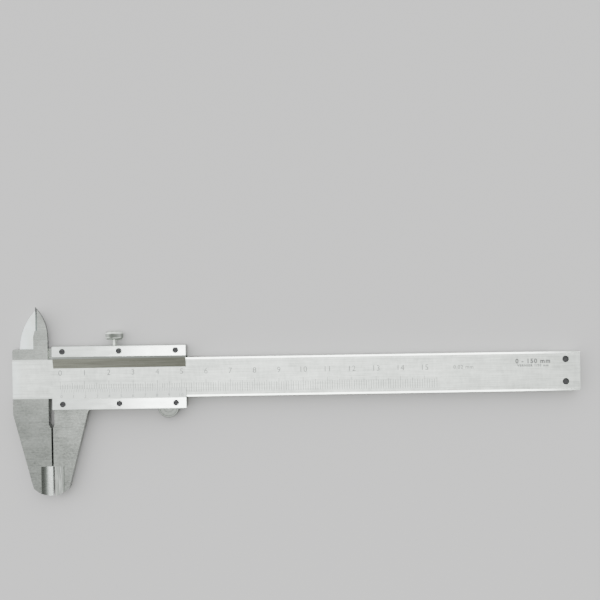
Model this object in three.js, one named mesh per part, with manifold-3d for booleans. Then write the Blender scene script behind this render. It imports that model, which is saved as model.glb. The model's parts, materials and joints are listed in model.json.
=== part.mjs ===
// Vernier caliper for 0 to 150 mm, lying on its back with the jaws almost closed.
//
// Millimetres. X runs along the beam, Y across it towards the inside jaws, Z up out of the face.
// Everything is laid out from one datum: the fixed outside measuring face is x = 0, the beam's
// centreline is y = 0 and the plane that the caliper rests on is z = 0. The slider and all that it
// carries are drawn at zero, fully closed, in a group that is then slid open by REST_OPENING.

import * as THREE from "three";
import { mergeVertices } from "three/addons/utils/BufferGeometryUtils.js";
import Module from "manifold-3d";

const wasm = await Module();
wasm.setup();

// Levels through the thickness
const PLATE_THICKNESS = 2;
const BEAM_BACK = 2.05;
const BEAM_FRONT = 5.55;
const BEAM_MIDDLE = (BEAM_BACK + BEAM_FRONT) / 2;
const INSIDE_JAW_GAP = 0.1;
const RAIL_TOP = 5.58;
const STRIP_BACK = 5.6;
const STRIP_FRONT = 7.4;

// Beam and fixed jaws
const BEAM_HALF_WIDTH = 8;
const BEAM_END = 218;
const HEAD_LEFT = -15.6;
const HEAD_TOP = 12.4;
const HEAD_CORNER = 1;
const JAW_TIP = -48.3;
const JAW_TIP_LAND = 1.1;
const FIXED_JAW_CORNER = { x: -7.6, y: -45 };
const FIXED_JAW_BEND = { x: -4.8, y: -47.6 };
const JAW_SHOULDER = -14.5;
const FIXED_RELIEF = 1;
const RELIEF_END = -18.7;
const FACE_START = -20.4;
const BACK_HALF_LEFT = -13.8;
const BACK_HALF_BOTTOM = 8.2;

// Inside jaws: both measure at x = KNIFE_EDGE when the slider is closed
const KNIFE_EDGE = -6.3;
const KNIFE_START = 20;
const KNIFE_RELIEF = { width: 0.6, height: 2.5 };
const KNIFE_BEVEL = 1.15;
const KNIFE_LAND = 0.35;
const FIXED_FIN_TIP = 29.7;
const FIXED_FIN_RIGHT = -1.05;
const FIXED_FIN_ARC = { x: -19.25, y: 17.1, radius: 18.2 };
const MOVING_FIN_TIP = 28.9;
const MOVING_FIN_ARC = { x: 10, y: 12, radius: 23.65 };
const MOVING_ROOT_RIGHT = 3;

// Hollow grinding of the outside jaw tips
const HOLLOW_WIDTH = 4.4;
const HOLLOW_FRONT_DEPTH = 1.7;
const HOLLOW_BACK_DEPTH = 0.8;
const HOLLOW_TOP = -36;

// Slider
const REST_OPENING = 0.8;
const SLIDER_LEFT = 0.4;
const SLIDER_RIGHT = 55.1;
const SLIDER_TOP = 13.35;
const SLIDER_BOTTOM = -12.6;
const SLIDER_CORNER = 0.5;
const UPPER_RAIL_EDGE = 8.9;
const LOWER_RAIL_EDGE = 8.05;
const MOVING_JAW_CORNER = { x: 6.1, y: -45.3 };
const MOVING_RELIEF = 0.6;
const JAW_RIGHT = 14.6;
const JAW_FILLET = { along: 1.6, down: 1.6, back: 0.4 };

// Strips and their screws. Distances from the centreline; side is 1 above the window, -1 below it
const UPPER_STRIP = { side: 1, outer: SLIDER_TOP, flatEdge: 9.15, screwY: 11.25 };
const VERNIER_STRIP = { side: -1, outer: -SLIDER_BOTTOM, flatEdge: 8.25, screwY: 10.3 };
const STRIP_WINDOW_EDGE = 4.3;
const STRIP_THIN_EDGE = 0.15;
const STRIP_CHAMFER = 0.2;
const STRIP_SCREW_FIRST = 4.6;
const STRIP_SCREW_PITCH = 23.2;
const STRIP_SCREW_HEAD = { radius: 1.15, height: 0.9, floor: 6.2 };
const STRIP_SCREW_SHANK = { radius: 0.65, bottom: 4.6 };
const STRIP_HOLE_BOTTOM = 4.35;
const RUNNING_GAP = 0.05;
const HEAD_GAP = 0.1;

// Lock screw and gib spring
const LOCK_X = 25.4;
const LOCK_SHANK_RADIUS = 0.85;
const LOCK_TIP = 8.65;
const LOCK_HEAD = { radius: 3.65, bottom: 15.8, top: 19.3, chamfer: 0.6 };
const GIB = { left: 5.2, right: 49.2, thickness: 0.25, near: 8.04, bow: 0.55, bottom: 2.3, top: 5.3 };

// Thumb roller
const ROLLER = { x: 47.4, y: -12.5, radius: 4.45, bottom: 2.2, top: 4.2, chamfer: 0.25 };
const ROLLER_POCKET_RADIUS = 4.9;
const ROLLER_POCKET_TOP = 4.4;
const ROLLER_LUG_RADIUS = 3.4;
const ROLLER_PIN_RADIUS = 0.8;

// Depth rod, its groove and its rivets
const GROOVE = { left: 7.5, halfWidth: 1.8, top: 3.75 };
const ROD = { left: 8.2, halfWidth: 1.6, bottom: 2.1, top: 3.45 };
const ROD_NOSE = { length: 3.2, slope: 0.6, edge: -0.5 };
const RIVET_X = [13.2, 21.2];
const RIVET_SHANK = { radius: 0.6, top: 3 };
const RIVET_HEAD = { radius: 1, height: 0.45 };

// Stop plate and its screws
const STOP_LEFT = 206.5;
const STOP_CORNER = 0.6;
const STOP_SCREW_X = 212.1;
const STOP_SCREW_Y = [4.9, -4.3];
const STOP_SCREW_SHANK = { radius: 1.35, top: 4.75 };
const STOP_SCREW_HEAD = { radius: 2.1, height: 0.9 };

// Fineness of round shapes
const ROUND_STEPS = 24;
const FINE_ROUND_STEPS = 48;
const ARC_STEPS = 12;
const BOW_STEPS = 12;
const SLOT = { width: 0.35, depth: 0.35 };
const STOP_SLOT = { width: 0.5, depth: 0.45 };
const CUT_MARGIN = 1;

// Finishes
const steel = (color, roughness) => new THREE.MeshStandardMaterial({ color, roughness, metalness: 1 });
const satinSteel = () => steel(0xcdd0cc, 0.35);
const polishedSteel = () => steel(0xdcdfe0, 0.2);
const springSteel = () => steel(0x8f959c, 0.35);
const turnedSteel = () => steel(0xb9bcbd, 0.4);
const darkSteel = () => steel(0x4a4b4d, 0.5);

// A three.js geometry as a solid that can be joined and cut.
function solid(geometry) {
  geometry.deleteAttribute("normal");
  geometry.deleteAttribute("uv");
  const merged = mergeVertices(geometry);
  const vertProperties = merged.attributes.position.array;
  const triVerts = new Uint32Array(merged.index.array);
  return new wasm.Manifold(new wasm.Mesh({ numProp: 3, vertProperties, triVerts }));
}

// A finished solid as a named mesh.
function piece(name, shape, material) {
  const { vertProperties, triVerts } = shape.getMesh();
  const geometry = new THREE.BufferGeometry();
  geometry.setAttribute("position", new THREE.BufferAttribute(vertProperties, 3));
  geometry.setIndex(new THREE.BufferAttribute(triVerts, 1));
  geometry.computeVertexNormals();
  const mesh = new THREE.Mesh(geometry, material);
  mesh.name = name;
  return mesh;
}

function closedShape(points) {
  return new THREE.Shape(points.map(([x, y]) => new THREE.Vector2(x, y)));
}

// A plan outline given thickness from one level to another.
function plate(shape, bottom, top) {
  const options = { depth: top - bottom, bevelEnabled: false, curveSegments: ARC_STEPS };
  return solid(new THREE.ExtrudeGeometry(shape, options).translate(0, 0, bottom));
}

// A section drawn in (y, z), carried along X.
function barAlongX(points, left, right) {
  const options = { depth: right - left, bevelEnabled: false };
  const geometry = new THREE.ExtrudeGeometry(closedShape(points), options);
  const axes = [[0, 1, 0], [0, 0, 1], [1, 0, 0]].map((axis) => new THREE.Vector3(...axis));
  return solid(geometry.applyMatrix4(new THREE.Matrix4().makeBasis(...axes)).translate(left, 0, 0));
}

// A section drawn in (x, z), carried along Y.
function barAlongY(points, low, high) {
  const options = { depth: high - low, bevelEnabled: false };
  const geometry = new THREE.ExtrudeGeometry(closedShape(points), options);
  const axes = [[1, 0, 0], [0, 0, 1], [0, -1, 0]].map((axis) => new THREE.Vector3(...axis));
  return solid(geometry.applyMatrix4(new THREE.Matrix4().makeBasis(...axes)).translate(0, high, 0));
}

function box(left, right, low, high, bottom, top) {
  const geometry = new THREE.BoxGeometry(right - left, high - low, top - bottom);
  return solid(geometry.translate((left + right) / 2, (low + high) / 2, (bottom + top) / 2));
}

// A round bar along Z.
function roundZ(x, y, radius, bottom, top, steps = ROUND_STEPS) {
  const geometry = new THREE.CylinderGeometry(radius, radius, top - bottom, steps);
  return solid(geometry.rotateX(Math.PI / 2).translate(x, y, (bottom + top) / 2));
}

// A round bar along Y.
function roundY(x, z, radius, low, high, steps = ROUND_STEPS) {
  const geometry = new THREE.CylinderGeometry(radius, radius, high - low, steps);
  return solid(geometry.translate(x, (low + high) / 2, z));
}

// The two grinding wheel passes, front and back, that thin a jaw tip along its measuring face.
function hollowGrinding() {
  const wheel = (depth) => (HOLLOW_WIDTH ** 2 + depth ** 2) / (2 * depth);
  const frontRadius = wheel(HOLLOW_FRONT_DEPTH);
  const backRadius = wheel(HOLLOW_BACK_DEPTH);
  const frontAxis = BEAM_FRONT - HOLLOW_FRONT_DEPTH + frontRadius;
  const backAxis = BEAM_BACK + HOLLOW_BACK_DEPTH - backRadius;
  const low = JAW_TIP - CUT_MARGIN;
  const front = roundY(0, frontAxis, frontRadius, low, HOLLOW_TOP, 2 * FINE_ROUND_STEPS);
  return front.add(roundY(0, backAxis, backRadius, low, HOLLOW_TOP, 2 * FINE_ROUND_STEPS));
}

// Beam, fixed outside jaw and fixed inside jaw, ground from one piece of plate.
function mainBeam() {
  const outline = new THREE.Shape();
  outline.moveTo(0, JAW_TIP);
  outline.lineTo(0, FACE_START);
  outline.lineTo(-FIXED_RELIEF, RELIEF_END);
  outline.lineTo(-FIXED_RELIEF, -BEAM_HALF_WIDTH);
  outline.lineTo(BEAM_END, -BEAM_HALF_WIDTH);
  outline.lineTo(BEAM_END, BEAM_HALF_WIDTH);
  outline.lineTo(FIXED_FIN_RIGHT, BEAM_HALF_WIDTH);
  outline.lineTo(FIXED_FIN_RIGHT, BACK_HALF_BOTTOM);
  outline.lineTo(BACK_HALF_LEFT, BACK_HALF_BOTTOM);
  outline.lineTo(BACK_HALF_LEFT, HEAD_TOP);
  outline.lineTo(HEAD_LEFT + HEAD_CORNER, HEAD_TOP);
  outline.absarc(HEAD_LEFT + HEAD_CORNER, HEAD_TOP - HEAD_CORNER, HEAD_CORNER, Math.PI / 2, Math.PI);
  outline.lineTo(HEAD_LEFT, JAW_SHOULDER);
  outline.lineTo(FIXED_JAW_CORNER.x, FIXED_JAW_CORNER.y);
  outline.quadraticCurveTo(FIXED_JAW_BEND.x, FIXED_JAW_BEND.y, -JAW_TIP_LAND, JAW_TIP);

  const fin = new THREE.Shape();
  const { x, y, radius } = FIXED_FIN_ARC;
  const tipAngle = Math.asin((FIXED_FIN_TIP - y) / radius);
  fin.moveTo(BACK_HALF_LEFT - CUT_MARGIN, BACK_HALF_BOTTOM - CUT_MARGIN);
  fin.lineTo(FIXED_FIN_RIGHT, BACK_HALF_BOTTOM - CUT_MARGIN);
  fin.absarc(x, y, radius, 0, tipAngle);
  fin.lineTo(KNIFE_EDGE, FIXED_FIN_TIP);
  fin.lineTo(KNIFE_EDGE, KNIFE_START);
  fin.lineTo(KNIFE_EDGE - KNIFE_RELIEF.width, KNIFE_START - KNIFE_RELIEF.height);
  fin.lineTo(KNIFE_EDGE - KNIFE_RELIEF.width, HEAD_TOP);
  fin.lineTo(BACK_HALF_LEFT - CUT_MARGIN, HEAD_TOP);

  const finBack = BEAM_MIDDLE + INSIDE_JAW_GAP / 2;
  const knifeBevel = barAlongY(
    [
      [KNIFE_EDGE, finBack + KNIFE_LAND],
      [KNIFE_EDGE + KNIFE_BEVEL, BEAM_FRONT],
      [KNIFE_EDGE + KNIFE_BEVEL, BEAM_FRONT + CUT_MARGIN],
      [KNIFE_EDGE - CUT_MARGIN, BEAM_FRONT + CUT_MARGIN],
      [KNIFE_EDGE - CUT_MARGIN, finBack + KNIFE_LAND],
    ],
    KNIFE_START,
    FIXED_FIN_TIP + CUT_MARGIN
  );

  const { left, halfWidth, top } = GROOVE;
  const rodGroove = box(left, BEAM_END + CUT_MARGIN, -halfWidth, halfWidth, BEAM_BACK - CUT_MARGIN, top);
  let beam = plate(outline, BEAM_BACK, BEAM_FRONT)
    .add(plate(fin, finBack, BEAM_FRONT).subtract(knifeBevel))
    .subtract(hollowGrinding())
    .subtract(rodGroove);
  for (const y of STOP_SCREW_Y) {
    const radius = STOP_SCREW_SHANK.radius + RUNNING_GAP;
    beam = beam.subtract(roundZ(STOP_SCREW_X, y, radius, 0, RAIL_TOP + CUT_MARGIN));
  }
  return piece("main_beam", beam, satinSteel());
}

// Moving inside jaw: a thin fin that slides behind the fixed one, with its root above the beam.
function movingFin() {
  const { x, y, radius } = MOVING_FIN_ARC;
  const outline = new THREE.Shape();
  outline.moveTo(MOVING_ROOT_RIGHT, BACK_HALF_BOTTOM + RUNNING_GAP);
  outline.lineTo(MOVING_ROOT_RIGHT, HEAD_TOP);
  outline.lineTo(KNIFE_EDGE + KNIFE_RELIEF.width, HEAD_TOP);
  outline.lineTo(KNIFE_EDGE + KNIFE_RELIEF.width, KNIFE_START - KNIFE_RELIEF.height);
  outline.lineTo(KNIFE_EDGE, KNIFE_START);
  outline.lineTo(KNIFE_EDGE, MOVING_FIN_TIP);
  outline.absarc(x, y, radius, Math.PI - Math.asin((MOVING_FIN_TIP - y) / radius), Math.PI);
  outline.lineTo(x - radius, BACK_HALF_BOTTOM + RUNNING_GAP);

  const front = BEAM_MIDDLE - INSIDE_JAW_GAP / 2;
  const knifeBevel = barAlongY(
    [
      [KNIFE_EDGE, front - KNIFE_LAND],
      [KNIFE_EDGE + CUT_MARGIN, front - KNIFE_LAND],
      [KNIFE_EDGE + CUT_MARGIN, BEAM_BACK - CUT_MARGIN],
      [KNIFE_EDGE - KNIFE_BEVEL, BEAM_BACK - CUT_MARGIN],
      [KNIFE_EDGE - KNIFE_BEVEL, BEAM_BACK],
    ],
    KNIFE_START,
    MOVING_FIN_TIP + CUT_MARGIN
  );
  return plate(outline, BEAM_BACK, front).subtract(knifeBevel);
}

// Moving outside jaw, drawn closed against x = 0.
function movingJaw() {
  const outline = new THREE.Shape();
  const root = SLIDER_BOTTOM;
  const { along, down, back } = JAW_FILLET;
  outline.moveTo(MOVING_RELIEF, root + CUT_MARGIN);
  outline.lineTo(MOVING_RELIEF, RELIEF_END);
  outline.lineTo(0, FACE_START);
  outline.lineTo(0, JAW_TIP);
  outline.lineTo(JAW_TIP_LAND, JAW_TIP);
  outline.lineTo(MOVING_JAW_CORNER.x, MOVING_JAW_CORNER.y);
  outline.lineTo(JAW_RIGHT - back, root - down);
  outline.quadraticCurveTo(JAW_RIGHT, root, JAW_RIGHT + along, root);
  outline.lineTo(JAW_RIGHT + along, root + CUT_MARGIN);
  return plate(outline, BEAM_BACK, BEAM_FRONT).subtract(hollowGrinding());
}

const stripScrewPlaces = [0, 1, 2].map((index) => STRIP_SCREW_FIRST + index * STRIP_SCREW_PITCH);

// Slider: back plate, two rails that embrace the beam, and both moving jaws.
function sliderBody() {
  const corner = SLIDER_CORNER;
  const outline = closedShape([
    [SLIDER_LEFT, SLIDER_BOTTOM],
    [SLIDER_RIGHT - corner, SLIDER_BOTTOM],
    [SLIDER_RIGHT, SLIDER_BOTTOM + corner],
    [SLIDER_RIGHT, SLIDER_TOP - corner],
    [SLIDER_RIGHT - corner, SLIDER_TOP],
    [SLIDER_LEFT, SLIDER_TOP],
  ]);
  const channelBottom = -LOWER_RAIL_EDGE;
  const channel = box(
    SLIDER_LEFT - CUT_MARGIN, SLIDER_RIGHT + CUT_MARGIN,
    channelBottom, UPPER_RAIL_EDGE,
    PLATE_THICKNESS, RAIL_TOP + CUT_MARGIN
  );
  const lug = roundZ(ROLLER.x, ROLLER.y, ROLLER_LUG_RADIUS, 0, PLATE_THICKNESS, FINE_ROUND_STEPS);
  const pocket = roundZ(
    ROLLER.x, ROLLER.y, ROLLER_POCKET_RADIUS, PLATE_THICKNESS, ROLLER_POCKET_TOP, FINE_ROUND_STEPS
  );
  const pinHole = roundZ(ROLLER.x, ROLLER.y, ROLLER_PIN_RADIUS + RUNNING_GAP, -CUT_MARGIN, BEAM_BACK);
  const lockHole = roundY(
    LOCK_X, BEAM_MIDDLE, LOCK_SHANK_RADIUS + RUNNING_GAP,
    UPPER_RAIL_EDGE - CUT_MARGIN, SLIDER_TOP + CUT_MARGIN
  );
  let slider = plate(outline, 0, RAIL_TOP)
    .add(lug)
    .subtract(channel)
    .add(movingJaw())
    .add(movingFin())
    .subtract(pocket)
    .subtract(pinHole)
    .subtract(lockHole);
  for (const x of stripScrewPlaces) {
    for (const { side, screwY } of [UPPER_STRIP, VERNIER_STRIP]) {
      const radius = STRIP_SCREW_SHANK.radius + RUNNING_GAP;
      slider = slider.subtract(roundZ(x, side * screwY, radius, STRIP_HOLE_BOTTOM, RAIL_TOP + CUT_MARGIN));
    }
  }
  for (const x of RIVET_X) {
    const shank = roundZ(x, 0, RIVET_SHANK.radius + RUNNING_GAP, -CUT_MARGIN, BEAM_BACK);
    const head = roundZ(x, 0, RIVET_HEAD.radius + HEAD_GAP, -CUT_MARGIN, RIVET_HEAD.height + HEAD_GAP);
    slider = slider.subtract(shank).subtract(head);
  }
  return piece("slider_body", slider, satinSteel());
}

// A strip screwed on a rail, bevelled down to a thin edge close above the beam's face.
function strip(name, { side, outer, flatEdge, screwY }) {
  const section = [
    [STRIP_WINDOW_EDGE, STRIP_BACK],
    [outer, STRIP_BACK],
    [outer, STRIP_FRONT - STRIP_CHAMFER],
    [outer - STRIP_CHAMFER, STRIP_FRONT],
    [flatEdge, STRIP_FRONT],
    [STRIP_WINDOW_EDGE, STRIP_BACK + STRIP_THIN_EDGE],
  ].map(([y, z]) => [side * y, z]);
  let bar = barAlongX(section, SLIDER_LEFT, SLIDER_RIGHT);
  for (const x of stripScrewPlaces) {
    const y = side * screwY;
    const head = STRIP_SCREW_HEAD;
    bar = bar
      .subtract(roundZ(x, y, STRIP_SCREW_SHANK.radius + RUNNING_GAP, RAIL_TOP - CUT_MARGIN, STRIP_FRONT))
      .subtract(roundZ(x, y, head.radius + HEAD_GAP, head.floor, STRIP_FRONT + CUT_MARGIN));
  }
  return piece(name, bar, polishedSteel());
}

// Slotted cheese-head screw that holds a strip on its rail.
function stripScrew(name, x, y) {
  const seat = STRIP_SCREW_HEAD.floor + RUNNING_GAP;
  const top = seat + STRIP_SCREW_HEAD.height;
  const reach = STRIP_SCREW_HEAD.radius + CUT_MARGIN;
  const slot = box(-reach, reach, -SLOT.width / 2, SLOT.width / 2, top - SLOT.depth, top + CUT_MARGIN);
  const screw = roundZ(0, 0, STRIP_SCREW_HEAD.radius, seat, top)
    .add(roundZ(0, 0, STRIP_SCREW_SHANK.radius, STRIP_SCREW_SHANK.bottom, seat + RUNNING_GAP))
    .subtract(slot);
  const mesh = piece(name, screw, darkSteel());
  mesh.position.set(x, y, 0);
  return mesh;
}

// Thumb screw turned in one piece, whose tip presses the gib spring on the beam's upper edge.
function lockScrew() {
  const { radius, bottom, top, chamfer } = LOCK_HEAD;
  const profile = [
    [0, LOCK_TIP],
    [LOCK_SHANK_RADIUS, LOCK_TIP],
    [LOCK_SHANK_RADIUS, bottom],
    [radius - chamfer, bottom],
    [radius, bottom + chamfer],
    [radius, top - chamfer],
    [radius - chamfer, top],
    [0, top],
  ].map(([r, y]) => new THREE.Vector2(r, y));
  const mesh = piece("lock_screw", solid(new THREE.LatheGeometry(profile, ROUND_STEPS)), turnedSteel());
  mesh.position.set(LOCK_X, 0, BEAM_MIDDLE);
  return mesh;
}

// Leaf spring bowed between the upper rail and the beam, nearest the beam at its middle.
function gibSpring() {
  const { left, right, thickness, near, bow, bottom, top } = GIB;
  const middle = (left + right) / 2;
  const bowAt = (x) => near + bow * ((x - middle) / (right - middle)) ** 2;
  const steps = Array.from({ length: BOW_STEPS + 1 }, (_, i) => left + ((right - left) * i) / BOW_STEPS);
  const beamSide = steps.map((x) => [x, bowAt(x)]);
  const railSide = steps.map((x) => [x, bowAt(x) + thickness]).reverse();
  return piece("gib_spring", plate(closedShape([...beamSide, ...railSide]), bottom, top), springSteel());
}

// Knurled wheel that the thumb turns, rolling along the beam's lower edge.
function thumbRoller() {
  const { x, y, radius, bottom, top, chamfer } = ROLLER;
  const bore = ROLLER_PIN_RADIUS + RUNNING_GAP;
  const profile = [
    [bore, bottom],
    [radius - chamfer, bottom],
    [radius, bottom + chamfer],
    [radius, top - chamfer],
    [radius - chamfer, top],
    [bore, top],
    [bore, bottom],
  ].map(([r, z]) => new THREE.Vector2(r, z));
  const wheel = new THREE.LatheGeometry(profile, FINE_ROUND_STEPS).rotateX(Math.PI / 2);
  const mesh = piece("thumb_roller", solid(wheel), turnedSteel());
  mesh.position.set(x, y, 0);
  return mesh;
}

function rollerPin() {
  const pin = roundZ(0, 0, ROLLER_PIN_RADIUS, RUNNING_GAP, ROLLER_POCKET_TOP - RUNNING_GAP);
  const mesh = piece("roller_pin", pin, turnedSteel());
  mesh.position.set(ROLLER.x, ROLLER.y, 0);
  return mesh;
}

// Flat rod in the beam's back groove, with a narrowed nose; its end is level with the beam's at zero.
function depthRod() {
  const { left, halfWidth, bottom, top } = ROD;
  const noseStart = BEAM_END - ROD_NOSE.length;
  const outline = closedShape([
    [left, -halfWidth],
    [noseStart - ROD_NOSE.slope, -halfWidth],
    [noseStart, ROD_NOSE.edge],
    [BEAM_END, ROD_NOSE.edge],
    [BEAM_END, halfWidth],
    [left, halfWidth],
  ]);
  let rod = plate(outline, bottom, top);
  for (const x of RIVET_X) {
    rod = rod.subtract(roundZ(x, 0, RIVET_SHANK.radius + RUNNING_GAP, 0, RIVET_SHANK.top + RUNNING_GAP));
  }
  return piece("depth_rod", rod, satinSteel());
}

function rodRivet(name, x) {
  const rivet = roundZ(0, 0, RIVET_HEAD.radius, RUNNING_GAP, RIVET_HEAD.height)
    .add(roundZ(0, 0, RIVET_SHANK.radius, RUNNING_GAP, RIVET_SHANK.top));
  const mesh = piece(name, rivet, turnedSteel());
  mesh.position.set(x, 0, 0);
  return mesh;
}

// Plate across the beam's back at its end, which stops the slider.
function stopPlate() {
  const width = BEAM_HALF_WIDTH;
  const outline = closedShape([
    [STOP_LEFT, -width],
    [BEAM_END - STOP_CORNER, -width],
    [BEAM_END, -width + STOP_CORNER],
    [BEAM_END, width - STOP_CORNER],
    [BEAM_END - STOP_CORNER, width],
    [STOP_LEFT, width],
  ]);
  let stop = plate(outline, 0, PLATE_THICKNESS);
  for (const y of STOP_SCREW_Y) {
    const { radius, height } = STOP_SCREW_HEAD;
    stop = stop
      .subtract(roundZ(STOP_SCREW_X, y, STOP_SCREW_SHANK.radius + RUNNING_GAP, 0, BEAM_BACK))
      .subtract(roundZ(STOP_SCREW_X, y, radius + HEAD_GAP, -CUT_MARGIN, height + HEAD_GAP));
  }
  return piece("stop_plate", stop, satinSteel());
}

// Slotted screw put in from the back, whose end shows in the beam's face.
function stopPlateScrew(name, y) {
  const { radius, height } = STOP_SCREW_HEAD;
  const reach = radius + CUT_MARGIN;
  const { width, depth } = STOP_SLOT;
  const screw = roundZ(0, 0, radius, RUNNING_GAP, height + RUNNING_GAP)
    .add(roundZ(0, 0, STOP_SCREW_SHANK.radius, height, STOP_SCREW_SHANK.top))
    .subtract(box(-reach, reach, -width / 2, width / 2, -CUT_MARGIN, RUNNING_GAP + depth));
  const mesh = piece(name, screw, darkSteel());
  mesh.position.set(STOP_SCREW_X, y, 0);
  return mesh;
}

const slider = new THREE.Group();
slider.add(sliderBody(), strip("upper_strip", UPPER_STRIP), strip("vernier_strip", VERNIER_STRIP));
stripScrewPlaces.forEach((x, index) => {
  slider.add(stripScrew(`upper_strip_screw_${index + 1}`, x, UPPER_STRIP.screwY));
  slider.add(stripScrew(`vernier_strip_screw_${index + 1}`, x, -VERNIER_STRIP.screwY));
});
slider.add(lockScrew(), gibSpring(), thumbRoller(), rollerPin(), depthRod());
RIVET_X.forEach((x, index) => slider.add(rodRivet(`depth_rod_rivet_${index + 1}`, x)));
slider.position.x = REST_OPENING;

const caliper = new THREE.Group();
caliper.add(mainBeam(), stopPlate(), slider);
STOP_SCREW_Y.forEach((y, index) => {
  caliper.add(stopPlateScrew(`stop_plate_screw_${index + 1}`, y));
});

// The origin of the whole is the middle of its footprint, on the plane it rests on.
const rightmost = BEAM_END + REST_OPENING;
caliper.position.set(-(HEAD_LEFT + rightmost) / 2, -(JAW_TIP + FIXED_FIN_TIP) / 2, 0);

export default caliper;
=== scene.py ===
"""A steel vernier caliper for 0 to 150 mm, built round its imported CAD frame. Metres, +Z up.

X runs along the beam, Y across it towards the inside jaws, and Z out of the graduated face."""

import json
from math import radians, tau

import bmesh
import bpy
import numpy as np
from mathutils import Matrix, Vector


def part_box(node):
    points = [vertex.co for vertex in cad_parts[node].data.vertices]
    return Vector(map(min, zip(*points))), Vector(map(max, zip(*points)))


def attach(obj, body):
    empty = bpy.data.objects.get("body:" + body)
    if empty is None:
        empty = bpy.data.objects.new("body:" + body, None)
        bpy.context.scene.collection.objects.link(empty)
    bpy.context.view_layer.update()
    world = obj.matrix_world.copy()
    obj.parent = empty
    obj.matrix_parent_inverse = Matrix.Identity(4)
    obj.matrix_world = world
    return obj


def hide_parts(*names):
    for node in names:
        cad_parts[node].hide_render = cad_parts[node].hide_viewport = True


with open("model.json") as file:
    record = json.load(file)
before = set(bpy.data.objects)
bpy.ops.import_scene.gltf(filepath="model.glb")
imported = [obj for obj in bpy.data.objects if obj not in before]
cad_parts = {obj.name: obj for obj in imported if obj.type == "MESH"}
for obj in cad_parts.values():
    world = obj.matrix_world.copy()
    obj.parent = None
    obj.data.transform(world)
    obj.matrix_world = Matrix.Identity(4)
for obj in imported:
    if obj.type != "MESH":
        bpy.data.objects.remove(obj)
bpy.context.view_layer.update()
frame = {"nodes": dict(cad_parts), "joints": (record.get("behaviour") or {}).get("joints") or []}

mm = 0.001

# ---------------------------------------------------------------------------------------------
# Beam with the fixed outside jaw and the fixed inside jaw: one plate of stainless steel, hardened
# and ground. The graduated part is satin chrome between two polished bands, and the jaws are left
# as the grinding wheel left them, with their long outer edges chamfered by hand. Their colour also
# carries painted light: lighter towards the head, painted shade across the hollow tips, near-black
# painted shade on the inside jaw behind its front face, and a painted highlight at the beam's left end.

beam_low, beam_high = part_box("main_beam")
stop_low, stop_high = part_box("stop_plate")
centreline = (stop_low.y + stop_high.y) / 2
half_beam = (stop_high.y - stop_low.y) / 2
beyond_face = 218 * mm
measuring_face = beam_high.x - beyond_face
polished_band = 0.65 * mm
dark_line_inset, half_dark_line = 1.9 * mm, 0.14 * mm
hollow_width = 4.4 * mm
hollow_top = centreline - 36 * mm
knife_bottom = centreline + 12.5 * mm
skin = 0.03 * mm


def machined(node, name, break_width, chamfered=None, chamfer_width=0.0):
    """A merged copy of a CAD node as a new piece, with its flat faces joined and its edges broken.

    Edges whose two ends satisfy chamfered(points) first get a wide chamfer; then every edge where
    the faces turn by more than 35 degrees gets one of break_width. Both take the second material."""
    same_point, same_plane = 0.001 * mm, radians(0.3)
    curved_turn, edge_turn = radians(25), radians(35)
    copy = bmesh.new()
    copy.from_mesh(frame["nodes"][node].data)
    bmesh.ops.remove_doubles(copy, verts=copy.verts, dist=same_point)
    bmesh.ops.dissolve_limit(copy, angle_limit=same_plane, verts=copy.verts, edges=copy.edges)
    mesh = bpy.data.meshes.new(name)
    copy.to_mesh(mesh)
    copy.free()
    mesh.shade_smooth()
    mesh.set_sharp_from_angle(angle=curved_turn)
    piece = bpy.data.objects.new(name, mesh)
    bpy.context.scene.collection.objects.link(piece)
    if chamfered:
        points = np.empty(len(mesh.vertices) * 3)
        mesh.vertices.foreach_get("co", points)
        ends = np.empty(len(mesh.edges) * 2, int)
        mesh.edges.foreach_get("vertices", ends)
        chosen = chamfered(points.reshape(-1, 3)[ends.reshape(-1, 2)])
        weights = mesh.attributes.new("bevel_weight_edge", "FLOAT", "EDGE")
        weights.data.foreach_set("value", chosen.astype(np.float32))
        wide = piece.modifiers.new("Chamfer", "BEVEL")
        wide.limit_method, wide.width = "WEIGHT", chamfer_width
        wide.segments, wide.material = 1, 1
    broken = piece.modifiers.new("Broken edges", "BEVEL")
    broken.limit_method, broken.angle_limit = "ANGLE", edge_turn
    broken.width, broken.segments, broken.material = break_width, 2, 1
    flats = piece.modifiers.new("Flat faces", "WEIGHTED_NORMAL")
    flats.weight, flats.keep_sharp = 100, True
    return piece


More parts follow.
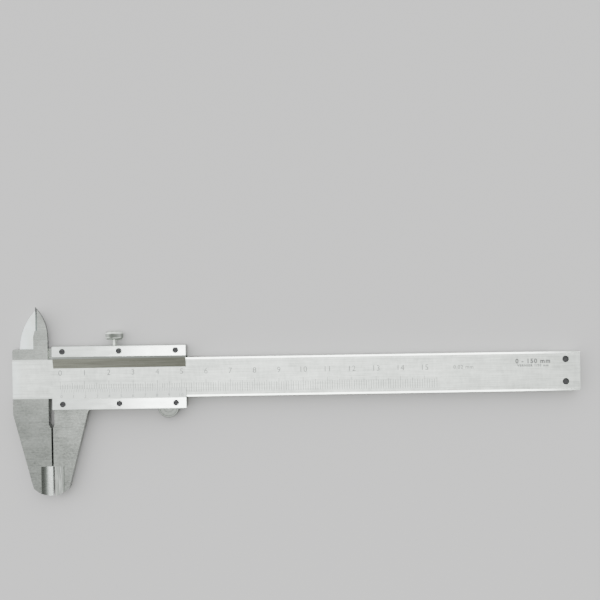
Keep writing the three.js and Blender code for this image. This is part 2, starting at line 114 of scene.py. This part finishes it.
class Socket:
    """A shader node's output. Arithmetic on it adds Math nodes to its material."""

    def __init__(self, tree, socket=None):
        self.tree, self.socket = tree, socket

    def node(self, kind, settings, inputs, output=0):
        """Adds one node: its settings first, then each input's value or link."""
        made = self.tree.nodes.new("ShaderNode" + kind)
        for name, value in settings.items():
            setattr(made, name, value)
        for key, value in inputs.items():
            if isinstance(value, Socket):
                self.tree.links.new(value.socket, made.inputs[key])
            else:
                made.inputs[key].default_value = value
        return Socket(self.tree, made.outputs[output])

    def math(self, operation, first, second=0.0):
        """One Math node on two values or sockets."""
        return self.node("Math", {"operation": operation}, {0: first, 1: second})

    def __add__(self, other):
        return self.math("ADD", self, other)

    def __sub__(self, other):
        if isinstance(other, Vector):
            return self.node("VectorMath", {"operation": "SUBTRACT"}, {0: self, 1: other})
        return self.math("SUBTRACT", self, other)

    def __rsub__(self, other):
        return self.math("SUBTRACT", other, self)

    def __mul__(self, other):
        return self.math("MULTIPLY", self, other)

    def __lt__(self, other):
        return self.math("LESS_THAN", self, other)

    def __gt__(self, other):
        return self.math("GREATER_THAN", self, other)

    def __abs__(self):
        return self.math("ABSOLUTE", self)

    __radd__ = __add__
    __rmul__ = __mul__

    def axis(self, index):
        """One of a vector's three numbers."""
        return self.node("SeparateXYZ", {}, {0: self}, index)

    def spread(self, low, high):
        """Stretched so that low becomes 0 and high becomes 1, and held between them."""
        limits = {"Value": self, "From Min": low, "From Max": high}
        return self.node("MapRange", {}, limits)

    def noise(self, size, detail=2.0, roughness=0.5):
        """Noise of about 0 to 1 whose features have this size, in metres, along X, Y and Z."""
        scale = tuple(1.0 / s for s in size)
        place = self.node("Mapping", {}, {"Vector": self, "Scale": scale})
        wanted = {"Vector": place, "Scale": 1.0, "Detail": detail, "Roughness": roughness}
        return self.node("TexNoise", {}, wanted)

    def choose(self, off, on):
        """The colour off where this factor is 0 and on where it is 1."""
        inputs = {0: self, 6: off, 7: on}
        return self.node("Mix", {"data_type": "RGBA"}, inputs, 2)

    def bump(self, height, strength):
        """A normal for a surface that rises by up to height metres."""
        return self.node("Bump", {}, {"Height": self, "Strength": strength, "Distance": height})


def shaded(name, paint):
    """A material whose Principled shader takes the values that paint gives for Object coordinates."""
    made = bpy.data.materials.new(name)
    made.use_nodes = True
    shader = made.node_tree.nodes["Principled BSDF"]
    shader.inputs["Metallic"].default_value = 1.0
    place = Socket(made.node_tree).node("TexCoord", {}, {}, "Object")
    for key, value in paint(place).items():
        if isinstance(value, Socket):
            made.node_tree.links.new(value.socket, shader.inputs[key])
        else:
            shader.inputs[key].default_value = value
    return made


def tone(grey, warmth=0.0):
    """A steel's colour: a faintly green grey, yellower with a positive warmth, bluer with a negative."""
    green_cast = 1.08
    return (grey * (1 + warmth), grey * (green_cast + 0.3 * warmth), grey * (1 - warmth), 1.0)


# The stretches of noise that give a finish gentle or strong contrast.
gentle, strong = (0.3, 0.7), (0.35, 0.65)


def ground_grain(place):
    """How light ground steel is, 0 to 1: cloudy, with short flecks and fine lines along X."""
    cloud = place.noise((7 * mm, 6 * mm, 7 * mm), 3.0).spread(*strong)
    blotch = place.noise((1.1 * mm, 0.8 * mm, 1.1 * mm), 4.0, 0.6).spread(*strong)
    line = place.noise((6 * mm, 0.3 * mm, 0.3 * mm), 3.0, 0.6).spread(*gentle)
    return cloud * 0.3 + blotch * 0.35 + line * 0.35


def hollow_wear(place):
    """1 on a hollow-ground jaw tip, and how far from the measuring face that is, 0 to 1, for the tip's
    painted shade.
    """
    away = abs(place.axis(0) - measuring_face).spread(0.0, hollow_width)
    tip = (place.axis(1) < hollow_top) * (place.axis(2) < beam_high.z - skin)
    return tip * (away < 1.0), away


def beam_finish(place):
    """Satin chrome within the beam's width, polished along its edges, with a darker line near each edge
    and a painted highlight at the left end; ground steel on the jaws, painted lighter towards the head,
    with painted shade across the hollow tips and near-black painted shade on the inside jaw behind its
    front face.
    """
    across = abs(place.axis(1) - centreline)
    plated = across < half_beam + 0.02 * mm
    polished = plated * (across > half_beam - polished_band)
    # Painted shade: the inside jaw away from its front face is near black.
    knife_painted_dark = (place.axis(1) > knife_bottom) * (place.axis(2) < beam_high.z - skin)
    # A darker line along the satin, 1.9 mm in from each edge of the plated width.
    dark_line = plated * (abs(across - (half_beam - dark_line_inset)) < half_dark_line)
    # Painted highlight: a bluish-white band along the beam's left end.
    left = place.axis(0).spread(beam_low.x + 4 * mm, beam_low.x + 2 * mm)
    hollow, away = hollow_wear(place)
    grain = ground_grain(place)
    cloud = place.noise((9 * mm, 5 * mm, 9 * mm), 4.0, 0.6).spread(*strong)
    smear = place.noise((1.4 * mm, 4 * mm, 1.4 * mm), 3.0, 0.6).spread(*strong)
    line = place.noise((12 * mm, 0.3 * mm, 0.3 * mm), 3.0, 0.6).spread(*strong)
    blast = place.noise((0.11 * mm, 0.11 * mm, 0.11 * mm), 2.0)
    # Painted light: the jaws' ground steel is lighter towards the head.
    upper = place.axis(1).spread(centreline - 20 * mm, centreline + 5 * mm)
    ground = (grain * 0.75 + upper * 0.3).choose(tone(0.11, 0.01), tone(0.37, 0.01))
    # Painted shade across the hollow tip: light at the measuring face, darker towards the shoulder, with
    # grinding lines.
    hollow_lines_and_shade = (1.0 - away * 1.3 + (line - 0.5) * 0.3).choose(tone(0.32), tone(0.62, -0.01))
    satin = (cloud * 0.3 + smear * 0.25 + line * 0.45).choose(tone(0.5, 0.003), tone(0.96, 0.003))
    satin = (left * 0.5).choose(satin, tone(0.95, -0.04))
    satin = (dark_line * 0.5).choose(satin, tone(0.55))
    jaws = knife_painted_dark.choose(hollow.choose(ground, hollow_lines_and_shade), tone(0.1, -0.03))
    colour = polished.choose(plated.choose(jaws, satin), tone(0.8))
    rough = 0.31 + plated * 0.15 - polished * 0.28 - grain * 0.1
    relief = line * (1 - plated) + blast * 0.5 * (plated - polished)
    return {"Base Color": colour, "Roughness": rough, "Normal": relief.bump(0.004 * mm, 0.5)}


def edge_finish(place):
    """Bright steel where handling has rubbed the edges, unevenly, and partly a painted highlight along
    them.
    """
    # The edges' brightness is partly wear and partly a painted highlight.
    worn = place.noise((1.5 * mm, 1.5 * mm, 1.5 * mm), 3.0, 0.6).spread(*gentle)
    return {"Base Color": worn.choose(tone(0.75), tone(0.96)), "Roughness": 0.42 - worn * 0.12}


edge_steel = shaded("worn edge steel with painted highlight", edge_finish)
face_margin = 0.01 * mm
slope_chamfer = 0.7 * mm


def along_outer_left(ends):
    """Edges of the front face along the head's left side and the fixed jaw's outer slope."""
    head_corner = Vector((measuring_face - 7.5 * mm, centreline + 12.3 * mm))
    front = np.abs(ends[..., 2] - beam_high.z) < face_margin
    left = ends[..., 0] < head_corner.x
    below = ends[..., 1] < head_corner.y
    steep = np.abs(np.diff(ends[..., 1], axis=1)) > np.abs(np.diff(ends[..., 0], axis=1))
    return (front & left & below).all(axis=1) & steep[:, 0]


beam = machined("main_beam", "beam", 0.07 * mm, along_outer_left, slope_chamfer)
beam.data.materials.append(shaded("beam steel", beam_finish))
beam.data.materials.append(edge_steel)
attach(beam, "beam")
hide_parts("main_beam")

# ---------------------------------------------------------------------------------------------
# Graduations of the beam: fine grooves cut by a dividing engine and filled with black, one each
# millimetre, longer at each fifth and longest at each tenth, with a numeral at each centimetre.
# Each filling stands out of its groove by a hair.

ink_height = 0.012 * mm
ink_depth = 0.02 * mm
scale_zero = Vector((measuring_face + 4 * mm, centreline, beam_high.z))
flat_axes = np.eye(3)


def ink_finish(place):
    """Matt black, greyer where it has worn."""
    wear = place.noise((0.9 * mm, 0.4 * mm, 0.9 * mm), 3.0)
    colour = wear.choose((0.05, 0.052, 0.055, 1.0), (0.16, 0.16, 0.16, 1.0))
    return {"Base Color": colour, "Roughness": 0.45 + wear * 0.25, "Metallic": 0.0}


ink = shaded("engraving black", ink_finish)


def inked(mesh, body):
    """Makes a mesh a piece of ink that rides on a body."""
    mesh.materials.append(ink)
    piece = bpy.data.objects.new(mesh.name, mesh)
    bpy.context.scene.collection.objects.link(piece)
    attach(piece, body)


def lines(name, places, starts, ends, width, origin, axes, body):
    """Straight filled grooves. Line i is a box centred on places[i] along the scale, from starts[i]
    to ends[i] up the face, width wide; a local point p stands at origin + p @ axes."""
    corner = np.array([(x, y, z) for z in (0, 1) for y in (0, 1) for x in (0, 1)])
    count = len(places)
    low = np.stack([places - width / 2, starts, np.full(count, -ink_depth)], axis=1)
    high = np.stack([places + width / 2, ends, np.full(count, ink_height)], axis=1)
    points = low[:, None] + corner * (high - low)[:, None]
    sides = [(0, 2, 3, 1), (4, 5, 7, 6), (0, 1, 5, 4), (2, 6, 7, 3), (0, 4, 6, 2), (1, 3, 7, 5)]
    faces = np.array(sides) + 8 * np.arange(count)[:, None, None]
    mesh = bpy.data.meshes.new(name)
    mesh.from_pydata(points.reshape(-1, 3) @ axes + origin, [], faces.reshape(-1, 4).tolist())
    inked(mesh, body)


def numerals(name, words, height, origin, axes, body, widening=-0.012, spacing=1.12):
    """Engraved characters of this height. Each (text, along, up) is centred on along, with its
    middle at up, and its outline stands out by widening times the height."""
    capital_part = 0.7
    characters = bmesh.new()
    for text, along, up in words:
        curve = bpy.data.curves.new("text", "FONT")
        curve.body, curve.align_x, curve.align_y = text, "CENTER", "CENTER"
        curve.size, curve.space_character = height / capital_part, spacing
        curve.resolution_u, curve.offset = 3, widening * height
        curve.extrude = (ink_height + ink_depth) / 2
        shape = bpy.data.objects.new("text", curve)
        solid = shape.to_mesh()
        solid.transform(Matrix.Translation((along, up, (ink_height - ink_depth) / 2)))
        characters.from_mesh(solid)
        bpy.data.objects.remove(shape)
        bpy.data.curves.remove(curve)
    bmesh.ops.remove_doubles(characters, verts=characters.verts, dist=0.002 * mm)
    place = Matrix.Translation(origin) @ Matrix(axes.T).to_4x4()
    bmesh.ops.transform(characters, matrix=place, verts=characters.verts)
    mesh = bpy.data.meshes.new(name)
    characters.to_mesh(mesh)
    characters.free()
    inked(mesh, body)


millimetres = np.arange(156)
tenth_top, fifth_top, plain_top = -1.0 * mm, -1.7 * mm, -2.4 * mm
tops = np.select([millimetres % 10 == 0, millimetres % 5 == 0], [tenth_top, fifth_top], plain_top)
bottoms = np.full(len(millimetres), -6.0 * mm)
line_width = 0.15 * mm
lines(
    "beam_graduations", millimetres * mm, bottoms, tops, line_width,
    np.array(scale_zero), flat_axes, "beam",
)
centimetres = [(str(n), n * 10 * mm, 2.3 * mm) for n in range(16)]
numerals("beam_numerals", centimetres, 2.3 * mm, scale_zero, flat_axes, "beam")
reading = [("0.02 mm", 166 * mm, 2.2 * mm)]
numerals("beam_reading", reading, 1.5 * mm, scale_zero, flat_axes, "beam", 0.01)
notes_along = 194.6 * mm
span = [("0 - 150 mm", notes_along, 4.2 * mm)]
numerals("beam_range", span, 1.8 * mm, scale_zero, flat_axes, "beam", 0.06, 1.2)
fraction = [("VERNIER 1/50 mm", notes_along, 2.4 * mm)]
numerals("beam_fraction", fraction, 0.95 * mm, scale_zero, flat_axes, "beam", 0.05, 1.25)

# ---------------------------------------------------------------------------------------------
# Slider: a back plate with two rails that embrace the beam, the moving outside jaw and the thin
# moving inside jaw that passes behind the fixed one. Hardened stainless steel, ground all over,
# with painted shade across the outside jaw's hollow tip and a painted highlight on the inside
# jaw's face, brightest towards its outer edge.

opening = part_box("depth_rod")[1].x - beam_high.x
# Bounds of the painted highlight on the inside jaw's face.
bright_fin_bottom = centreline + 12.42 * mm
highlight_rim, highlight_start = measuring_face - 12.5 * mm, measuring_face - 8 * mm


def slider_finish(place):
    """Ground steel, mottled and finely lined, with painted shade across the hollow tip and a painted
    highlight on the inside jaw's face.
    """
    # Painted highlight: the inside jaw's face is bright, brightest towards its outer edge, with a
    # mottled sheen.
    painted_bright_fin = (place.axis(1) > bright_fin_bottom) * (place.axis(0) < measuring_face)
    hollow, away = hollow_wear(place - Vector((opening, 0, 0)))
    grain = ground_grain(place)
    sheen = place.noise((1.6 * mm, 4 * mm, 3 * mm), 3.0, 0.6).spread(*strong)
    outer = place.axis(0).spread(highlight_start, highlight_rim)
    line = place.noise((0.4 * mm, 6 * mm, 0.4 * mm), 3.0, 0.6).spread(*strong)
    ground = grain.choose(tone(0.11, 0.015), tone(0.38, 0.01))
    # Painted shade across the moving jaw's hollow tip: light at the measuring face, darker towards the
    # shoulder, with grinding lines.
    hollow_lines_and_shade = (0.6 - away * 0.6 + (line - 0.5) * 0.9).choose(tone(0.2, 0.01), tone(0.5, 0.01))
    bright = (sheen * 0.5 + outer * 0.6).choose(tone(0.78), tone(1.0, -0.06))
    colour = painted_bright_fin.choose(hollow.choose(ground, hollow_lines_and_shade), bright)
    rough = 0.31 - grain * 0.1 - painted_bright_fin * 0.02
    return {"Base Color": colour, "Roughness": rough, "Normal": line.bump(0.003 * mm, 0.4)}


def along_outer_right(ends):
    """Edges of the front face along the moving jaw's outer slope."""
    jaw_corner = Vector((measuring_face + 6 * mm, centreline - 13 * mm))
    front = np.abs(ends[..., 2] - beam_high.z) < face_margin
    right = ends[..., 0] > jaw_corner.x
    below = ends[..., 1] < jaw_corner.y
    return (front & right & below).all(axis=1)


slider = machined("slider_body", "slider", 0.06 * mm, along_outer_right, slope_chamfer)
slider.data.materials.append(shaded("slider steel", slider_finish))
slider.data.materials.append(edge_steel)
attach(slider, "slider")
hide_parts("slider_body")

# ---------------------------------------------------------------------------------------------
# Gib spring: a strip of rolled spring steel, bowed between the upper rail and the beam's edge, so
# that the slider moves without shake. Heat treatment leaves it slightly blue.


def spring_finish(place):
    """Blued steel with the streaks of its rolling."""
    rolled = place.noise((4 * mm, 0.4 * mm, 0.1 * mm), 3.0, 0.6)
    colour = rolled.choose(tone(0.3, -0.1), tone(0.48, -0.03))
    return {"Base Color": colour, "Roughness": 0.28 + rolled * 0.2}


spring = frame["nodes"]["gib_spring"]
spring.data.materials.clear()
spring.data.materials.append(shaded("blued spring steel", spring_finish))

# ---------------------------------------------------------------------------------------------
# Upper strip and vernier strip: polished steel bars screwed down on the rails, bevelled to a thin
# edge over the beam's face. The vernier strip's bevel is satin, and it carries the scale. The upper
# strip's bevel is darker and browner, as painted shade.

strip_low, strip_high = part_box("vernier_strip")
bevel_width = 3.95 * mm
bevel_reach = centreline - strip_high.y + bevel_width


def strip_finish(place):
    """Polished with lines along the bar, with painted shade on the upper strip's bevel, and matt on the
    vernier's bevel so that it reads well.
    """
    below = place.axis(1) < centreline
    bevel = abs(place.axis(1) - centreline) < bevel_reach
    matt = below * bevel
    fine = place.noise((14 * mm, 0.12 * mm, 0.12 * mm), 3.0, 0.6).spread(*gentle)
    broad = place.noise((22 * mm, 0.9 * mm, 0.9 * mm), 3.0, 0.6).spread(*gentle)
    smear = place.noise((4 * mm, 1.6 * mm, 4 * mm), 3.0).spread(*gentle)
    bright = (broad * 0.5 + fine * 0.2 + smear * 0.3).choose(tone(0.76), tone(1.0, -0.01))
    # Painted shade: the upper strip's bevel is darker and browner.
    upper_bevel_painted_shade = (broad * 0.6 + fine * 0.4).choose(tone(0.42, 0.07), tone(0.74, 0.07))
    dull = (smear * 0.6 + fine * 0.4).choose(tone(0.5, 0.003), tone(0.64, 0.003))
    colour = matt.choose(bevel.choose(bright, upper_bevel_painted_shade), dull)
    rough = 0.14 + bevel * 0.04 + matt * 0.2 + (smear - 0.5) * 0.06
    return {"Base Color": colour, "Roughness": rough, "Normal": fine.bump(0.002 * mm, 0.4)}


strip_steel = shaded("polished strip steel", strip_finish)
for node in ("upper_strip", "vernier_strip"):
    bar = machined(node, node + "_bar", 0.06 * mm)
    bar.data.materials.append(strip_steel)
    bar.data.materials.append(edge_steel)
    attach(bar, "slider")
    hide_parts(node)

# ---------------------------------------------------------------------------------------------
# Graduations of the vernier: fifty divisions in 49 mm along the bevel's thin edge, so that each
# is 0.02 mm short of a millimetre, with a numeral at each fifth one. Cut and filled as the beam's.

thin_edge = 0.15 * mm
rise = strip_high.z - strip_low.z - thin_edge
slope = np.array([0.0, bevel_width, -rise]) / np.hypot(bevel_width, rise)
bevel_axes = np.array([(1, 0, 0), slope, (0, -slope[2], slope[1])])
bevel_zero = np.array([scale_zero.x + opening, strip_high.y, strip_low.z + thin_edge])
divisions = np.arange(51)
pitch = 49 * mm / 50
fifth_length, plain_length = 2.0 * mm, 1.35 * mm
feet = -np.where(divisions % 5 == 0, fifth_length, plain_length)
edge_margin = np.full(len(divisions), -0.1 * mm)
fine_width = 0.11 * mm
lines(
    "vernier_graduations", divisions * pitch, feet, edge_margin, fine_width,
    bevel_zero, bevel_axes, "slider",
)
fifths = [(str(n), n * 5 * pitch, -3.15 * mm) for n in range(11)]
numerals("vernier_numerals", fifths, 1.35 * mm, bevel_zero, bevel_axes, "slider")

# ---------------------------------------------------------------------------------------------
# Strip screws: slotted cheese-head screws turned from steel, coloured nearly black as painted shade of
# their counterbores. Three sink in counterbores in each strip and hold it on its rail.


def blackened_finish(place):
    """Nearly black as painted shade of the counterbores, with bare steel showing in the worn spots."""
    worn = place.noise((0.5 * mm, 0.5 * mm, 0.5 * mm), 4.0, 0.6)
    # Painted shade: the screws are near black for the shade of their counterbores.
    colour = worn.choose((0.012, 0.013, 0.015, 1.0), (0.12, 0.12, 0.12, 1.0))
    return {"Base Color": colour, "Roughness": 0.35 + worn * 0.3, "Metallic": 0.9}


screw_painted_dark = shaded("screw steel painted dark", blackened_finish)


def fastener(node, body, break_width):
    """A copy of a small CAD screw with its edges broken, painted nearly black all over as shade."""
    screw = machined(node, node + "_turned", break_width)
    screw.data.materials.append(screw_painted_dark)
    screw.data.materials.append(screw_painted_dark)
    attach(screw, body)
    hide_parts(node)


for strip in ("upper", "vernier"):
    for number in (1, 2, 3):
        fastener(f"{strip}_strip_screw_{number}", "slider", 0.05 * mm)

# ---------------------------------------------------------------------------------------------
# Lock screw: turned from one bar, with a straight-knurled, dished head, a plain neck and a
# rounded tip that presses the gib spring.

lock_low, lock_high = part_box("lock_screw")
joint_at = {joint["name"]: Vector(joint.get("pos_m", (0, 0, 0))) for joint in frame["joints"]}


def turned(name, radius, along, centre, axes, ring=False):
    """A turned surface. At step s and turn t it is centre + along[s] * axes[2] + radius[s, t] *
    (cos t * axes[0] + sin t * axes[1]). It ends on the axis, or as a ring it closes on itself."""
    steps, turns = radius.shape
    angle = tau * np.arange(turns) / turns
    circle = np.cos(angle)[:, None] * axes[0] + np.sin(angle)[:, None] * axes[1]
    points = radius[..., None] * circle + along[:, None, None] * axes[2] + np.array(centre)
    index = np.arange(steps * turns).reshape(steps, turns)
    rows = np.roll(index, -1, axis=0) if ring else index[1:]
    low = index if ring else index[:-1]
    grid = (low, np.roll(low, -1, axis=1), np.roll(rows, -1, axis=1), rows)
    faces = np.stack(grid, axis=-1).reshape(-1, 4).tolist()
    points = points.reshape(-1, 3)
    if not ring:
        poles = np.array(centre) + np.outer(along[[0, -1]], axes[2])
        first, last = np.full((2, turns), len(points)) + [[0], [1]]
        points = np.concatenate([points, poles])
        faces += np.stack([first, np.roll(index[0], -1), index[0]], axis=-1).tolist()
        faces += np.stack([last, index[-1], np.roll(index[-1], -1)], axis=-1).tolist()
    mesh = bpy.data.meshes.new(name)
    mesh.from_pydata(points, [], faces)
    mesh.shade_smooth()
    mesh.set_sharp_from_angle(angle=radians(32))
    piece = bpy.data.objects.new(name, mesh)
    bpy.context.scene.collection.objects.link(piece)
    return piece


def knurled(profile, rim, teeth, depth):
    """Radii of a profile's steps round the turn, with V-shaped teeth cut depth deep where rim is 1."""
    points_per_tooth = 6
    turn = np.arange(teeth * points_per_tooth) / points_per_tooth
    tooth = np.abs(2 * (turn % 1) - 1)
    return np.array(profile)[:, None] - depth * np.array(rim)[:, None] * tooth


half_knurl = 0.7 * mm


def turned_finish(axis, centre, valley, middle, dark, light):
    """Turned steel with fine rings round an axis through centre, and teeth that are darker and rougher.
    These lie further out than valley, and nearer along the axis to middle than half_knurl."""

    def paint(place):
        offset = place - Vector(centre)
        one, two = [offset.axis(index) for index in range(3) if index != axis]
        radius = offset.math("SQRT", one * one + two * two)
        teeth = (radius > valley - skin) * (abs(place.axis(axis) - middle) < half_knurl)
        smear = place.noise((1.6 * mm, 1.6 * mm, 1.6 * mm), 3.0).spread(*gentle)
        ring = place.node("CombineXYZ", {}, {0: radius}).noise((0.2 * mm, 1, 1), 3.0, 0.7)
        streaks = smear * 0.6 + ring.spread(*gentle) * 0.4
        metal = streaks.choose(tone(dark, 0.01), tone(light, 0.01))
        colour = teeth.choose(metal, tone(dark * 0.7, 0.01))
        rough = 0.24 + smear * 0.14 + teeth * 0.14
        return {"Base Color": colour, "Roughness": rough, "Normal": ring.bump(0.004 * mm, 0.5)}

    return paint


head_radius = (lock_high.x - lock_low.x) / 2 - 0.01 * mm
head_bottom = lock_high.y - 3.5 * mm
neck_radius = 0.85 * mm
corner = 1.05 * mm
dish = 0.25 * mm
tooth_depth = 0.16 * mm
arc = np.linspace(0, tau / 4, 6)
shoulder = head_radius - corner
under = np.stack([shoulder + corner * np.sin(arc), head_bottom + corner - corner * np.cos(arc)], axis=1)
over = np.stack([shoulder + corner * np.cos(arc), lock_high.y - corner + corner * np.sin(arc)], axis=1)
lock_profile = np.array([
    (0.5 * mm, lock_low.y), (neck_radius, lock_low.y + 0.45 * mm), (neck_radius, head_bottom),
    *under, *over,
    (head_radius - 1.3 * mm, lock_high.y), (head_radius - 1.6 * mm, lock_high.y - dish),
    (0.3 * mm, lock_high.y - dish),
])
lock_radii, lock_heights = lock_profile.T
lock_rim = np.concatenate([np.zeros(3), np.sin(arc) ** 6, np.cos(arc) ** 6, np.zeros(3)])
lock_surface = knurled(lock_radii, lock_rim, 64, tooth_depth)
lock_centre = (joint_at["lock_screw_turn"].x, 0, joint_at["lock_screw_turn"].z)
lock_axes = np.array([(0, 0, 1), (1, 0, 0), (0, 1, 0)])
lock = turned("knurled_lock_screw", lock_surface, lock_heights, lock_centre, lock_axes)
lock_middle = (head_bottom + lock_high.y) / 2
lock_paint = turned_finish(1, lock_centre, head_radius - tooth_depth, lock_middle, 0.38, 0.78)
lock.data.materials.append(shaded("turned screw steel", lock_paint))
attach(lock, "lock_screw")
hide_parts("lock_screw")

# ---------------------------------------------------------------------------------------------
# Thumb roller: a knurled steel wheel in a pocket of the lower rail, running on a pin pressed in
# the back plate's lug. The thumb turns it and it rolls along the beam's edge.

roller_low, roller_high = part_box("thumb_roller")
roller_radius = (roller_high.x - roller_low.x) / 2 - 0.01 * mm
pin_low, pin_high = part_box("roller_pin")
bore_radius = (pin_high.x - pin_low.x) / 2 + 0.05 * mm
bottom, top = roller_low.z, roller_high.z
recess = 0.15 * mm
half_profile = np.array([
    (bore_radius, 0), (1.9 * mm, 0), (2.05 * mm, recess), (roller_radius - 0.95 * mm, recess),
    (roller_radius - 0.8 * mm, 0), (roller_radius - 0.3 * mm, 0), (roller_radius, 0.3 * mm),
])
half_rim = np.array([0, 0, 0, 0, 0, 0.25, 1])
radii, inset = half_profile.T
roller_radii = np.concatenate([radii, radii[::-1]])
roller_heights = np.concatenate([bottom + inset, top - inset[::-1]])
roller_rim = np.concatenate([half_rim, half_rim[::-1]])
roller_surface = knurled(roller_radii, roller_rim, 52, tooth_depth)
roller_centre = (joint_at["thumb_roller_spin"].x, joint_at["thumb_roller_spin"].y, 0)
roller = turned(
    "knurled_thumb_roller", roller_surface, roller_heights, roller_centre, np.eye(3), ring=True
)
roller_middle = (bottom + top) / 2
roller_paint = turned_finish(
    2, roller_centre, roller_radius - tooth_depth, roller_middle, 0.1, 0.24
)
roller.data.materials.append(shaded("turned roller steel", roller_paint))
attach(roller, "thumb_roller")
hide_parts("thumb_roller")


def rod_finish(place):
    """Ground steel with fine lines along X."""
    fine = place.noise((9 * mm, 0.08 * mm, 0.08 * mm), 3.0, 0.6)
    broad = place.noise((16 * mm, 1.2 * mm, 2 * mm), 3.0)
    colour = (broad * 0.6 + fine * 0.4).choose(tone(0.42, 0.01), tone(0.62, 0.01))
    rough = 0.24 + broad * 0.14
    return {"Base Color": colour, "Roughness": rough, "Normal": fine.bump(0.003 * mm, 0.4)}


rod_steel = shaded("ground rod steel", rod_finish)
pin = machined("roller_pin", "roller_axle", 0.08 * mm)
pin.data.materials.append(rod_steel)
pin.data.materials.append(edge_steel)
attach(pin, "slider")
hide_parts("roller_pin")

# ---------------------------------------------------------------------------------------------
# Depth rod: a flat ground strip in the beam's back groove, with a narrowed nose, held on the
# slider's back plate by two rivets whose heads are filed flush.

rod = machined("depth_rod", "depth_blade", 0.08 * mm)
rod.data.materials.append(rod_steel)
rod.data.materials.append(edge_steel)
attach(rod, "slider")
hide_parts("depth_rod")
for number in (1, 2):
    rivet = machined(f"depth_rod_rivet_{number}", f"depth_blade_rivet_{number}", 0.04 * mm)
    rivet.data.materials.append(rod_steel)
    rivet.data.materials.append(edge_steel)
    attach(rivet, "slider")
    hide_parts(f"depth_rod_rivet_{number}")

# ---------------------------------------------------------------------------------------------
# Stop plate: a small ground plate across the beam's back at its free end, which keeps the slider
# on the beam. Two slotted screws hold it, and their ends show in the beam's face.

stop = machined("stop_plate", "end_stop", 0.12 * mm)
stop.data.materials.append(rod_steel)
stop.data.materials.append(edge_steel)
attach(stop, "beam")
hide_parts("stop_plate")
for number in (1, 2):
    fastener(f"stop_plate_screw_{number}", "beam", 0.1 * mm)

# ---------------------------------------------------------------------------------------------
# Studio: a pale floor under the caliper and one long soft light overhead, a little towards the
# outside jaws. The camera looks straight down, turned by a degree.

reach = 4.0
floor_corners = [(-reach, -reach, 0), (reach, -reach, 0), (reach, reach, 0), (-reach, reach, 0)]


def floor_finish(place):
    """Matt paper, very slightly clouded."""
    cloud = place.noise((0.4, 0.4, 0.4))
    colour = cloud.choose((0.58, 0.58, 0.57, 1), (0.61, 0.61, 0.6, 1))
    return {"Base Color": colour, "Roughness": 0.9, "Metallic": 0.0}


floor_mesh = bpy.data.meshes.new("floor")
floor_mesh.from_pydata(floor_corners, [], [(0, 1, 2, 3)])
floor_mesh.materials.append(shaded("pale floor", floor_finish))
floor = bpy.data.objects.new("floor", floor_mesh)
bpy.context.scene.collection.objects.link(floor)

lamp_shape = bpy.data.lights.new("overhead light", "AREA")
lamp_shape.shape, lamp_shape.size, lamp_shape.size_y = "RECTANGLE", 0.84, 0.2
lamp_shape.energy = 4.8
lamp = bpy.data.objects.new("overhead light", lamp_shape)
lamp.location = (0.08, -0.12, 1.5)
bpy.context.scene.collection.objects.link(lamp)

# The room is bright overhead and brightest towards the inside jaws and the head. It is dim towards
# the outside jaws, except low down, where it is even all round.
world = bpy.data.worlds.new("soft room")
world.use_nodes = True
direction = Socket(world.node_tree).node("TexCoord", {}, {}, "Generated")
left_share = 0.6
sideways = direction.axis(1) - direction.axis(0) * left_share
ceiling = sideways.spread(-0.68, -0.1).choose((0.15, 0.15, 0.14, 1.0), (1.0, 1.0, 1.0, 1.0))
glow = sideways.spread(-0.15, 0.6).choose(ceiling, (2.9, 2.9, 2.96, 1.0))
room = direction.axis(2).spread(0.35, 0.05).choose(glow, (1.6, 1.6, 1.6, 1.0))
world.node_tree.links.new(room.socket, world.node_tree.nodes["Background"].inputs["Color"])
bpy.context.scene.world = world

view_distance, view_width = 380 * mm, 246.9 * mm
view_along, view_up = measuring_face + 103.2 * mm, centreline + 30.9 * mm
lens = bpy.data.cameras.new("camera")
lens.lens = lens.sensor_width * view_distance / view_width
lens.clip_start, lens.clip_end = 0.01, 100.0
camera = bpy.data.objects.new("camera", lens)
camera.location = (view_along, view_up, beam_high.z + view_distance)
camera.rotation_euler = (0, 0, radians(-0.93))
bpy.context.scene.collection.objects.link(camera)
bpy.context.scene.camera = camera
